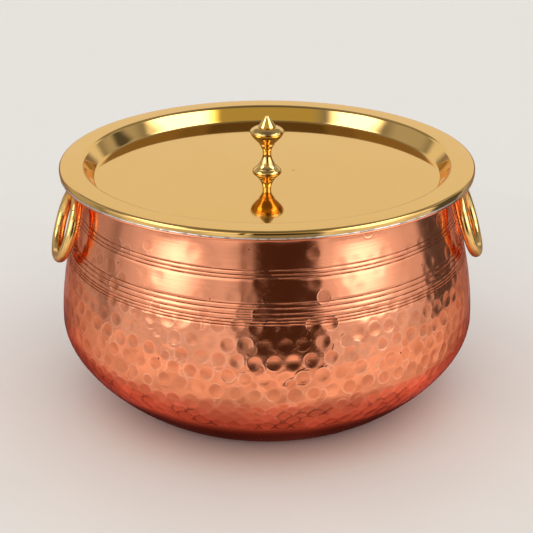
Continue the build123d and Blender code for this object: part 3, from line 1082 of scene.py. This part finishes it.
# The studio that the metal mirrors, as light by direction: turn from the front to the right and
# rise above the horizon, in degrees. Each line leads the light to a new strength inside a window
def studioLight():
    world = bpy.data.worlds.new("studio")
    bpy.context.scene.world = world
    world.use_nodes = True
    net = Net(world.node_tree)
    direction = net.node("ShaderNodeTexCoord", output=0)
    x, y, z = net.split(direction)
    turn = turnOf(x, y)
    away = turn.maths("ABSOLUTE")
    rise = z.maths("ARCSINE") * (180 / math.pi)
    # A dim studio, brighter high in front
    highFront = net.step(away, 55, 40) * window(net, rise, 44, 60, 3)
    light = led(0.30, 0.50, highFront)
    # Pale wall behind the bowl
    light = led(light, 0.88, net.step(away, 136, 143) * window(net, rise, 7, 29, 2.5))
    light = led(light, 0.55, net.step(away, 156, 168) * window(net, rise, -40, 8, 2.5))
    # A dim wall to both sides
    light = led(light, 0.50, window(net, away, 104, 134, 6) * window(net, rise, -20, 40, 4))
    # Dark ceiling
    light = led(light, 0.24, net.step(rise, 60, 64))
    light = led(light, 0.14, net.step(rise, 70, 73))
    # Side boxes, brighter above the table's edge and hottest near their middles
    unevenness = net.step(net.noise(direction, 2.6, 2), 0.32, 0.68)
    boxes = window(net, turn, -96, -11, 3) + window(net, turn, 27, 97, 3)
    boxLight = (0.80 + 0.55 * net.step(rise, 6, 14)) * (0.80 + 0.40 * unevenness)
    boxLight = boxLight * (1 - 0.35 * net.step(turn, -76, -92))
    light = led(light, boxLight, boxes * window(net, rise, -26, 38, 2))
    hot = window(net, turn, -68, -46, 10) + window(net, turn, 43, 67, 10)
    light = led(light, 3.2, hot * window(net, rise, 1, 30, 5))
    high = window(net, turn, -97, -59, 7) + window(net, turn, 44, 99, 7)
    light = led(light, 4.2, high * window(net, rise, 38, 54, 2.5))
    # The dark gap between the boxes, which closes to the right as it rises
    rightEdge = 27 - 0.45 * (rise - 5).maths("MAXIMUM", 0)
    gap = net.step(turn, -10.5, -8) * net.step(turn - rightEdge, 2.5, -2.5)
    gap = (gap + window(net, turn, -16.5, -13.5, 1)) * net.step(rise, 48, 44) * net.step(rise, -14, -8)
    light = led(light, 0.055 + 0.30 * net.step(rise, 32, 44), gap)
    # A dark strip just past the right box
    light = led(light, 0.10, window(net, turn, 98, 124, 3) * net.step(rise, 30, 26))
    path = net.node("ShaderNodeLightPath")
    outputs = path.socket.node.outputs
    isCamera = Wire(net, outputs["Is Camera Ray"])
    isGlossy = Wire(net, outputs["Is Glossy Ray"])
    # Low behind the bowl the light is warmer, from the bowl itself
    glow = net.step(away, 130, 146) * net.step(rise, 8, 2)
    colour = net.mixed(glow, (1, 1, 1, 1), studio["glowTint"])
    colour = net.mixed(highFront, colour, studio["warmTint"])
    colour = net.mixed(gap * net.step(rise, 44, 32), colour, studio["gapTint"])
    colour = net.mixed(isCamera, colour, studio["backdrop"])
    strength = led(1, light, isGlossy)
    background = net.node("ShaderNodeBackground", {}, {"Color": colour, "Strength": strength})
    net.node("ShaderNodeOutputWorld", {}, {"Surface": background})


studioLight()

# The photo's camera: distance and elevation are taken from the bowl's axis at the look height, the
# turn is to the left of the front, and width, centre and focal length are in pixels
photo = {
    "width": 533.0,
    "centreX": 267.0,
    "focal": 1288.0,
    "distance": 815.0,
    "elevation": 18.3,
    "pitch": 23.15,
    "turn": 1.95,
    "lookHeight": 152.0,
}
cameraData = bpy.data.cameras.new("photoCamera")
camera = bpy.data.objects.new("photoCamera", cameraData)
bpy.context.scene.collection.objects.link(camera)
cameraData.sensor_width = 36
cameraData.lens = photo["focal"] / photo["width"] * cameraData.sensor_width
cameraData.shift_x = (photo["width"] / 2 - photo["centreX"]) / photo["width"]
rise = math.radians(photo["elevation"])
turnAside = math.radians(photo["turn"])
reach = photo["distance"] * math.cos(rise) * mm
camera.location = (
    -reach * math.sin(turnAside),
    -reach * math.cos(turnAside),
    (photo["lookHeight"] + photo["distance"] * math.sin(rise)) * mm,
)
camera.rotation_euler = (math.radians(90 - photo["pitch"]), 0, -turnAside)
bpy.context.scene.camera = camera
bpy.context.scene.view_settings.view_transform = "Standard"
print("stage done")
